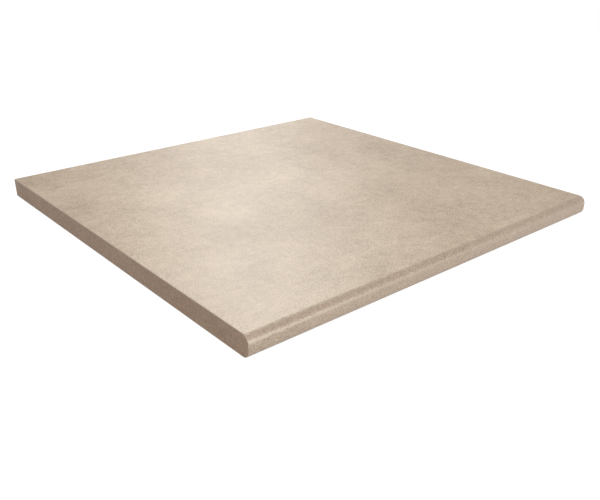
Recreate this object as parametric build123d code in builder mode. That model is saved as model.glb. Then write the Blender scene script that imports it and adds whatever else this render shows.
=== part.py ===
from build123d import *
import math
import os

# Pool edge tile: one square porcelain slab with a rounded nose along its front edge.
# The origin is at the middle of the underside. X runs along the nose, -Y points out over
# the pool, and +Z is up, through the walking face.

# Slab, in millimetres
tile_width = 445.0  # along the nose, from joint face to joint face
tile_depth = 450.0  # from the rear joint face to the tip of the nose
tile_thickness = 20.0
edge_bevel = 0.6  # eased arris round the three ground joint faces

# Nose: two equal rounds with an upright land between them
nose_land = 5.0
nose_radius = (tile_thickness - nose_land) / 2

# Keyed back: shallow drafted cells between ribs, inside a plain border
key_border = 20.0
key_cell = 24.0
key_rib = 6.0  # narrowest rib: the ribs share out what the cells leave over
key_depth = 1.0
key_corner_cut = 3.0  # bevel across each cell's corners
key_draft = 20.0  # degrees

# The underside is flat from the foot of the nose to the rear joint face
flat_front = -tile_depth / 2 + nose_radius
flat_rear = tile_depth / 2


def cell_row(length):
    """The pitch and the number of the cells that fill a stretch of the underside, border to border."""
    field = length - 2 * key_border
    count = math.floor((field + key_rib) / (key_cell + key_rib))
    pitch = (field - key_cell) / (count - 1)
    return pitch, count


with BuildPart() as pool_edge_tile:
    # Section across the nose, drawn out along the width
    with BuildSketch(Plane.YZ) as section:
        Rectangle(tile_depth, tile_thickness, align=(Align.CENTER, Align.MIN))
        fillet(section.vertices().group_by(Axis.X)[0], nose_radius)
    extrude(amount=tile_width / 2, both=True)

    # Ground joint faces: the two sides and the rear, each eased all round
    side_faces = pool_edge_tile.faces().filter_by(Axis.X)
    rear_face = pool_edge_tile.faces().sort_by(Axis.Y)[-1:]
    chamfer((side_faces + rear_face).edges(), edge_bevel)

    # Keyed back: the cells sink into the underside and narrow with depth
    column_pitch, columns = cell_row(tile_width)
    row_pitch, rows = cell_row(flat_rear - flat_front)
    with BuildSketch(Plane.XY) as cells:
        with Locations((0, (flat_front + flat_rear) / 2)):
            with GridLocations(column_pitch, row_pitch, columns, rows):
                Rectangle(key_cell, key_cell)
        chamfer(cells.vertices(), key_corner_cut)
    extrude(amount=key_depth, taper=key_draft, mode=Mode.SUBTRACT)

pool_edge_tile.part.label = "pool_edge_tile"

os.makedirs("parts", exist_ok=True)
export_step(pool_edge_tile.part, "parts/pool_edge_tile.step")
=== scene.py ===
import math

import bmesh
import bpy
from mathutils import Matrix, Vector


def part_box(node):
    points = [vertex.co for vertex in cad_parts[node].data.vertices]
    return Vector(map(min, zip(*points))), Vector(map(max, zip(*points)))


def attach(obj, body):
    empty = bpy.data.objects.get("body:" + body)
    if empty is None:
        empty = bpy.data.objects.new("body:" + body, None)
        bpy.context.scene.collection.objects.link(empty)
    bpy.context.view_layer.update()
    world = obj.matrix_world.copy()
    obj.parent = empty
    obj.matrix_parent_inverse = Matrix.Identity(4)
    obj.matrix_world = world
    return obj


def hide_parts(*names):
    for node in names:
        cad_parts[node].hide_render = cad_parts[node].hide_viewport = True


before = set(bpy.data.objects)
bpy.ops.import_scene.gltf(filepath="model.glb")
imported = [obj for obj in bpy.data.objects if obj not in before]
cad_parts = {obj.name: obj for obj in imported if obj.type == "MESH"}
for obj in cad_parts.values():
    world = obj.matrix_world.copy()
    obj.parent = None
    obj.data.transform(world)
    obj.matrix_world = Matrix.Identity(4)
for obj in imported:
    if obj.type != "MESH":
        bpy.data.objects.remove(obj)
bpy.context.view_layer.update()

# Sizes of the tile, in metres
NODE = "pool_edge_tile"
low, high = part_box(NODE)
width = high.x - low.x
thickness = high.z - low.z
nose_land = 0.005
nose_radius = (thickness - nose_land) / 2
nose_y = low.y + nose_radius  # where the flats end and the nose starts
edge_bevel = 0.0006

# Keyed back
key_border = 0.020
key_cell = 0.024
key_rib = 0.006  # narrowest rib: the ribs share out what the cells leave over
key_depth = 0.001
key_corner_cut = 0.003
key_draft = math.radians(20)
key_run = key_depth * math.tan(key_draft)

# Fineness of the mesh
nose_steps = 14
land_steps = 4
rear_steps = 6
border_steps = 5
cell_steps = 4
bevel_steps = 3
sharp_angle = math.radians(30)
tolerance = 1e-6

# Finishes, in the order of the tile's material slots
SLOTS = ["face", "nose", "joint", "back"]
nose_line = 2  # steps round the nose at which its own finish starts


def spread(start, stop, steps):
    """Evenly spaced values from start up to, but not including, stop."""
    return [start + (stop - start) * n / steps for n in range(steps)]


def cell_centres(start, stop):
    """Centres of the cells that fill a stretch of the underside, border to border."""
    field = stop - start - 2 * key_border
    count = math.floor((field + key_rib) / (key_cell + key_rib) + tolerance)
    pitch = (field - key_cell) / (count - 1)
    first = start + key_border + key_cell / 2
    return [first + pitch * n for n in range(count)]


def grid_lines(start, stop, centres):
    """Lines across a stretch of the tile that follow the walls and corners of its cells."""
    half = key_cell / 2
    inner = half - key_corner_cut
    lines = spread(start, centres[0] - half, border_steps)
    for centre in centres:
        lines += [centre - half, centre - half + key_run]
        lines += spread(centre - inner, centre + inner, cell_steps)
        lines += [centre + inner, centre + half - key_run, centre + half]
    lines += spread(centres[-1] + half, stop, border_steps)[1:]
    return lines + [stop]


column_centres = cell_centres(low.x, high.x)
row_centres = cell_centres(nose_y, high.y)
columns = grid_lines(low.x, high.x, column_centres)
rows = grid_lines(nose_y, high.y, row_centres)


def key_height(x, y):
    """How far the underside is sunk at a point: the full depth inside a cell, none on a rib."""
    dx = min(abs(x - centre) for centre in column_centres)
    dy = min(abs(y - centre) for centre in row_centres)
    to_side = key_cell / 2 - max(dx, dy)
    to_corner = (key_cell - key_corner_cut - dx - dy) / math.sqrt(2)
    return key_depth * min(max(min(to_side, to_corner) / key_run, 0), 1)


def nose_step(n):
    """How far a step round the nose lies out from the start of the round, and in from the flat."""
    angle = math.pi / 2 * n / nose_steps
    return nose_radius * math.sin(angle), nose_radius * (1 - math.cos(angle))


def section_points():
    """The tile's section, anticlockwise from the rear top edge: y, z and the finish up to the next point."""
    points = [(y, high.z, "face") for y in reversed(rows)]
    for n in range(1, nose_steps + 1):
        out, drop = nose_step(n)
        points.append((nose_y - out, high.z - drop, "face" if n < nose_line else "nose"))
    for z in spread(high.z - nose_radius, low.z + nose_radius, land_steps)[1:]:
        points.append((low.y, z, "nose"))
    for n in range(nose_steps, 0, -1):
        out, drop = nose_step(n)
        points.append((nose_y - out, low.z + drop, "nose"))
    points += [(y, low.z, "back") for y in rows[:-1]]
    points += [(high.y, z, "joint") for z in spread(low.z, high.z, rear_steps)]
    return points


def tile_mesh():
    """One closed mesh: the section drawn out along the nose, with plain ends and the cells sunk in."""
    section = section_points()
    mesh = bmesh.new()
    rings = []
    for x in columns:
        ring = []
        for y, z, finish in section:
            sunk = key_height(x, y) if finish == "back" else 0
            ring.append(mesh.verts.new((x, y, z + sunk)))
        rings.append(ring)
    for near, far in zip(rings, rings[1:]):
        for n, (y, z, finish) in enumerate(section):
            after = (n + 1) % len(section)
            quad = mesh.faces.new((near[n], near[after], far[after], far[n]))
            quad.material_index = SLOTS.index(finish)
    for ring in (rings[0][::-1], rings[-1]):
        mesh.faces.new(ring).material_index = SLOTS.index("joint")
    for face in mesh.faces:
        face.smooth = True
    mesh.normal_update()

    # The arris to ease: round both ends, and along the rear's top and bottom edges
    weight = mesh.edges.layers.float.new("bevel_weight_edge")
    for edge in mesh.edges:
        sharp = edge.calc_face_angle(0) > sharp_angle
        ends = [vert.co for vert in edge.verts]
        at_side = all(abs(abs(end.x) - width / 2) < tolerance for end in ends)
        at_rear = sharp and all(abs(end.y - high.y) < tolerance for end in ends)
        eased = at_side or at_rear
        edge[weight] = float(eased)
        edge.smooth = eased or not sharp
    data = bpy.data.meshes.new("tile")
    mesh.to_mesh(data)
    mesh.free()
    return data


tile = bpy.data.objects.new("tile", tile_mesh())
bpy.context.scene.collection.objects.link(tile)
ease = tile.modifiers.new("eased_arris", "BEVEL")
ease.limit_method = "WEIGHT"
ease.width = edge_bevel
ease.segments = bevel_steps
ease.material = SLOTS.index("nose")  # the eased strip shines as the nose does
flats = tile.modifiers.new("true_flats", "WEIGHTED_NORMAL")
flats.keep_sharp = True


class Nodes:
    """A material's node tree, with short calls for the nodes used here."""

    def __init__(self, name):
        self.material = bpy.data.materials.new(name)
        self.material.use_nodes = True
        self.tree = self.material.node_tree
        self.place = self.add("ShaderNodeTexCoord", {}).outputs["Object"]

    def put(self, node, inputs):
        """Sets a node's sockets to values, or links them to the outputs of other nodes."""
        for key, value in inputs.items():
            if isinstance(value, bpy.types.NodeSocket):
                self.tree.links.new(value, node.inputs[key])
            else:
                node.inputs[key].default_value = value

    def add(self, kind, inputs, **settings):
        """A new node with these settings, and these values or links on its sockets."""
        node = self.tree.nodes.new(kind)
        for key, value in settings.items():
            setattr(node, key, value)
        self.put(node, inputs)
        return node

    def finished(self, looks):
        """The material, with these values or links on its shader."""
        self.put(self.tree.nodes["Principled BSDF"], looks)
        return self.material

    def noise_node(self, scale, detail, rough, place):
        """Fractal noise with this many waves to the metre, finer by half at each step of detail."""
        inputs = {"Vector": place, "Scale": scale, "Detail": detail, "Roughness": rough}
        return self.add("ShaderNodeTexNoise", inputs)

    def noise(self, scale, detail, rough, place=None):
        """The noise as one value, from 0 to 1."""
        return self.noise_node(scale, detail, rough, place or self.place).outputs["Fac"]

    def shifted(self, shift):
        """The object's coordinates moved by some metres, for a pattern of its own."""
        return self.add("ShaderNodeMapping", {"Vector": self.place, "Location": shift}).outputs["Vector"]

    def warped(self, scale, reach):
        """The object's coordinates pushed to and fro, so that what is placed by them has uneven edges."""
        push = self.noise_node(scale, detail=3, rough=0.6, place=self.place).outputs["Color"]
        centred = self.add("ShaderNodeVectorMath", {0: push, 1: (0.5, 0.5, 0.5)}, operation="SUBTRACT")
        inputs = {0: centred.outputs["Vector"], 1: (reach, reach, reach), 2: self.place}
        return self.add("ShaderNodeVectorMath", inputs, operation="MULTIPLY_ADD").outputs["Vector"]

    def height(self):
        """The height above the object's origin, in metres."""
        return self.add("ShaderNodeSeparateXYZ", {"Vector": self.place}).outputs["Z"]

    def spot(self, place, middle, radius, strength):
        """A soft round spot that fades out at its radius."""
        away = self.add("ShaderNodeVectorMath", {0: place, 1: middle}, operation="DISTANCE")
        return self.between(away.outputs["Value"], (0, radius), (strength, 0))

    def swing(self, noise, gain):
        """A noise turned into a swing either side of nothing."""
        inputs = {0: noise, 1: gain, 2: -gain / 2}
        return self.add("ShaderNodeMath", inputs, operation="MULTIPLY_ADD").outputs["Value"]

    def between(self, value, start, end):
        """A value carried over smoothly from one range to another, and held at its ends."""
        inputs = dict(enumerate((value, *start, *end)))
        return self.add("ShaderNodeMapRange", inputs, interpolation_type="SMOOTHSTEP").outputs["Result"]

    def sum(self, *values):
        """The values added up."""
        total = values[0]
        for value in values[1:]:
            total = self.add("ShaderNodeMath", {0: total, 1: value}, operation="ADD").outputs["Value"]
        return total

    def mix(self, amount, first, second):
        """A colour some way from the first to the second."""
        node = self.add("ShaderNodeMix", {"Factor": amount, "A": first, "B": second}, data_type="RGBA")
        return [out for out in node.outputs if out.type == "RGBA"][0]

    def bump(self, height, distance, over=None):
        """A relief that a height raises by up to this distance, over another relief if one is given."""
        node = self.add("ShaderNodeBump", {"Height": height, "Distance": distance})
        if over:
            self.put(node, {"Normal": over})
        return node.outputs["Normal"]


def linear(red, green, blue):
    """A colour given as 0 to 255 screen values, as the shader takes it."""

    def one(value):
        value /= 255
        return value / 12.92 if value <= 0.04045 else ((value + 0.055) / 1.055) ** 2.4

    return (one(red), one(green), one(blue), 1)


# Colours from the darkest to the lightest grain
face_dark = linear(136, 108, 78)
face_light = linear(205, 185, 161)
nose_dark = linear(113, 92, 72)
nose_light = linear(182, 162, 144)
# The ground sides' colours, also used on the back: a slightly browner body, darkened further with painted
# shade because those sides stand in shade
body_and_shade_dark = linear(113, 88, 69)
body_and_shade_light = linear(173, 147, 124)
mid_tone = 0.5  # half-way from dark to light, where a pattern swings from
gloss_tint = (1, 1, 0.9, 1)

# Kiln wash, which lies more on the ribs than in the cells
kiln_wash = linear(206, 198, 186)
rib_wash = 0.2
wash_peaks = (0.5, 0.8)  # how high in its noise the wash starts, and is full
wash_cover = 0.6

# Patterns of the face and the nose: waves to the metre, and how far each swings the tone
cloud_scale = 8
cloud_shift = (-4.2575, 0.15, 4)
cloud_swing = 0.36
hollow_shift = (-3.8625, 4.01, 1)
hollow_swing = 0.32
billow_scale = 24
billow_swing = 0.55
mottle_scale = 100
mottle_swing = 0.92
grain_scale = 850
speck_scale = 620
speck_peaks = (0.76, 0.82)  # how high in its noise a speck starts, and is full
speck_tone = -0.3

# How far the mottling and the grain swing the roughness, and how many times as deep the mottling is
mottle_rough_swing = 0.12
grain_rough_swing = 0.1
mottle_relief = 2

# Patches paler or darker than the rest, mostly the tile's own clouds and one of painted shade: x and y of the
# middle and the radius, in metres, and the strength
tone_and_shade_patches = [
    (-0.195, 0.008, 0.065, 0.14),
    (-0.120, 0.078, 0.055, 0.12),
    (-0.090, -0.020, 0.040, 0.15),
    (0.025, 0.025, 0.040, 0.11),
    (-0.030, 0.028, 0.035, 0.06),
    (0.020, -0.030, 0.035, 0.05),
    (0.000, 0.150, 0.040, 0.09),
    (0.105, 0.165, 0.050, 0.07),
    (0.147, -0.168, 0.045, 0.09),
    (-0.020, -0.205, 0.045, 0.10),
    (-0.170, -0.118, 0.030, 0.09),
    # Painted shade: the rear left corner made darker where the light falls off towards it
    (-0.215, 0.215, 0.070, -0.16),
    (-0.065, -0.052, 0.030, -0.11),
    (0.090, -0.068, 0.060, -0.12),
    (0.112, 0.132, 0.035, -0.09),
    (-0.160, -0.155, 0.040, -0.10),
    (0.217, -0.060, 0.040, -0.13),
    (0.222, -0.172, 0.045, -0.14),
]
patch_edge_scale = 30  # waves to the metre along their uneven edges
patch_edge_reach = 0.04


def porcelain(name, dark, light, rough, gloss, cloudy, grainy, relief):
    """Cement-look porcelain: soft clouds, mottling, fine grain and a few dark specks under a satin finish,
    with paler and darker patches, one of them painted shade.
    """
    n = Nodes(name)
    clouds = n.noise(cloud_scale, detail=2, rough=0.6, place=n.shifted(cloud_shift))
    hollows = n.noise(cloud_scale, detail=2, rough=0.6, place=n.shifted(hollow_shift))
    billows = n.noise(billow_scale, detail=1, rough=0.6)
    mottle = n.noise(mottle_scale, detail=2, rough=1.0)
    grain = n.noise(grain_scale, detail=0, rough=0.5)
    specks = n.between(n.noise(speck_scale, detail=0, rough=0.5), speck_peaks, (0, speck_tone))
    uneven = n.warped(patch_edge_scale, patch_edge_reach)
    spots = []
    # Patches of tone, with painted shade at the rear left corner
    for x, y, radius, strength in tone_and_shade_patches:
        spots.append(n.spot(uneven, (x, y, high.z), radius, strength * cloudy))
    tone = n.sum(
        n.swing(clouds, cloud_swing * cloudy),
        n.swing(hollows, hollow_swing * cloudy),
        n.swing(billows, billow_swing * cloudy),
        n.swing(mottle, mottle_swing * cloudy),
        n.swing(grain, grainy),
        *spots,
        specks,
        mid_tone,
    )
    roughness = n.sum(
        n.swing(billows, mottle_rough_swing * cloudy),
        n.swing(mottle, mottle_rough_swing * cloudy),
        n.swing(grain, grain_rough_swing),
        rough,
    )
    waves = n.bump(mottle, mottle_relief * relief * cloudy)
    looks = {
        "Base Color": n.mix(tone, dark, light),
        "Roughness": roughness,
        "Specular IOR Level": gloss,
        "Specular Tint": gloss_tint,
        "Normal": n.bump(grain, relief, over=waves),
    }
    return n.finished(looks)


def porcelain_joint(rough, relief):
    """The body where it was ground square: darker than the face, partly a browner body and partly painted
    shade, plain and matt, with an even grain.
    """
    n = Nodes("porcelain_joint")
    mottle = n.noise(scale=30, detail=3, rough=0.7)
    grain = n.noise(scale=600, detail=1, rough=1.0)
    tone = n.sum(n.swing(mottle, gain=0.5), n.swing(grain, gain=1.8), mid_tone)
    looks = {
        # A browner body, darkened with painted shade
        "Base Color": n.mix(tone, body_and_shade_dark, body_and_shade_light),
        "Roughness": n.sum(n.swing(grain, gain=0.3), rough),
        "Normal": n.bump(grain, relief),
    }
    return n.finished(looks)


def porcelain_back(rough, relief):
    """The unglazed back, with pale kiln wash on its ribs and a dusting of it in the cells."""
    n = Nodes("porcelain_back")
    grain = n.noise(scale=260, detail=3, rough=0.9)
    dusting = n.noise(scale=55, detail=6, rough=0.65)
    tone = n.sum(n.swing(grain, gain=1.4), mid_tone)
    ribs = n.between(n.height(), (low.z, low.z + key_depth), (rib_wash, 0))
    cover = n.between(n.sum(dusting, ribs), wash_peaks, (0, wash_cover))
    looks = {
        # The body's colours here carry the sides' painted shade
        "Base Color": n.mix(cover, n.mix(tone, body_and_shade_dark, body_and_shade_light), kiln_wash),
        "Roughness": n.sum(n.swing(grain, gain=0.3), rough),
        "Normal": n.bump(grain, relief),
    }
    return n.finished(looks)


# Roughness and shine, strength of the clouds and the grain, and the grain's depth in metres
face_finish = dict(rough=0.37, gloss=0.5, cloudy=1, grainy=1.25, relief=0.0001)
nose_finish = dict(rough=0.46, gloss=1.0, cloudy=0.25, grainy=1.0, relief=0.00014)

finishes = {
    "face": porcelain("porcelain_face", face_dark, face_light, **face_finish),
    "nose": porcelain("porcelain_nose", nose_dark, nose_light, **nose_finish),
    "joint": porcelain_joint(rough=0.6, relief=0.0001),
    "back": porcelain_back(rough=0.78, relief=0.00015),
}
for slot in SLOTS:
    tile.data.materials.append(finishes[slot])

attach(tile, "root")
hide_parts(NODE)

# Floor and surroundings: white to the camera, with a faint shadow kept
floor_gap = 0.0004
floor_half = 1.5
floor_bounce = 0.5
floor_shadow = 0.2
floor_glow = 0.92
ambient = 0.1


def grey(level):
    """An even grey, as the shader takes it."""
    return (level, level, level, 1)


def seen_directly(tree):
    """1 for rays from the camera, or from a mirror or glass, and 0 for the rest."""
    path = tree.nodes.new("ShaderNodeLightPath")
    total = path.outputs["Is Camera Ray"]
    for name in ("Is Glossy Ray", "Is Transmission Ray"):
        larger = tree.nodes.new("ShaderNodeMath")
        larger.operation = "MAXIMUM"
        tree.links.new(total, larger.inputs[0])
        tree.links.new(path.outputs[name], larger.inputs[1])
        total = larger.outputs["Value"]
    return total


def floor_paper():
    """Pale paper that lights the tile from below, and glows white where it is seen directly."""
    material = bpy.data.materials.new("floor")
    material.use_nodes = True
    tree = material.node_tree
    tree.nodes.clear()
    paper = tree.nodes.new("ShaderNodeBsdfDiffuse")
    paper.inputs["Color"].default_value = grey(floor_bounce)
    shaded = tree.nodes.new("ShaderNodeBsdfDiffuse")
    shaded.inputs["Color"].default_value = grey(floor_shadow)
    glow = tree.nodes.new("ShaderNodeEmission")
    glow.inputs["Strength"].default_value = floor_glow
    white = tree.nodes.new("ShaderNodeAddShader")
    tree.links.new(shaded.outputs[0], white.inputs[0])
    tree.links.new(glow.outputs[0], white.inputs[1])
    choose = tree.nodes.new("ShaderNodeMixShader")
    tree.links.new(seen_directly(tree), choose.inputs[0])
    tree.links.new(paper.outputs[0], choose.inputs[1])
    tree.links.new(white.outputs[0], choose.inputs[2])
    output = tree.nodes.new("ShaderNodeOutputMaterial")
    tree.links.new(choose.outputs[0], output.inputs["Surface"])
    return material


def studio_world():
    """White surroundings that give little light of their own."""
    world = bpy.data.worlds.new("studio")
    world.use_nodes = True
    tree = world.node_tree
    sky = tree.nodes["Background"]
    sky.inputs["Color"].default_value = grey(1)
    brightness = tree.nodes.new("ShaderNodeMapRange")
    tree.links.new(seen_directly(tree), brightness.inputs["Value"])
    brightness.inputs["To Min"].default_value = ambient
    brightness.inputs["To Max"].default_value = 1
    tree.links.new(brightness.outputs["Result"], sky.inputs["Strength"])
    return world


corners = [(-floor_half, -floor_half), (floor_half, -floor_half)]
corners += [(floor_half, floor_half), (-floor_half, floor_half)]
floor_data = bpy.data.meshes.new("floor")
floor_data.from_pydata([(x, y, low.z - floor_gap) for x, y in corners], [], [(0, 1, 2, 3)])
floor_data.materials.append(floor_paper())
floor = bpy.data.objects.new("floor", floor_data)
bpy.context.scene.collection.objects.link(floor)
bpy.context.scene.world = studio_world()


def heading(azimuth, elevation):
    """The direction at an azimuth, turned from +Y towards +X, and an elevation, both in degrees."""
    a, e = math.radians(azimuth), math.radians(elevation)
    return Vector((math.sin(a) * math.cos(e), math.cos(a) * math.cos(e), math.sin(e)))


def soft_lamp(name, azimuth, elevation, size, level, distance=2.0):
    """A soft lamp, wide by tall, aimed at the tile, which lights a surface facing it to this level."""
    data = bpy.data.lights.new(name, "AREA")
    data.shape = "RECTANGLE"
    data.size, data.size_y = size
    data.energy = level * math.pi * math.pi * distance**2
    lamp = bpy.data.objects.new(name, data)
    toward = heading(azimuth, elevation)
    lamp.location = toward * distance
    lamp.rotation_euler = (-toward).to_track_quat("-Z", "Y").to_euler()
    bpy.context.scene.collection.objects.link(lamp)


soft_lamp("back_low", azimuth=33, elevation=19, size=(0.5, 0.5), level=0.025)
soft_lamp("back_middle", azimuth=35, elevation=34, size=(0.8, 0.45), level=0.15)
soft_lamp("back_high", azimuth=35, elevation=53, size=(0.45, 0.8), level=0.347)
soft_lamp("right", azimuth=65, elevation=52, size=(0.8, 0.8), level=0.135)
soft_lamp("rear_left", azimuth=320, elevation=50, size=(0.8, 0.8), level=0.116)
soft_lamp("left", azimuth=222, elevation=28, size=(2.4, 1.6), level=0.82)
soft_lamp("front", azimuth=161, elevation=3.2, size=(0.6, 0.44), level=0.5, distance=4.0)

# Camera
field_of_view = math.radians(45)
camera_place = (-0.4769, -0.5858, 0.2875)
camera_dip = math.radians(24.423)  # below the horizon
camera_turn = math.radians(39.955)  # from +Y towards +X

camera_data = bpy.data.cameras.new("camera")
camera_data.angle = field_of_view
camera = bpy.data.objects.new("camera", camera_data)
camera.location = camera_place
camera.rotation_euler = (math.pi / 2 - camera_dip, 0, -camera_turn)
bpy.context.scene.collection.objects.link(camera)
bpy.context.scene.camera = camera
bpy.context.scene.view_settings.view_transform = "Standard"
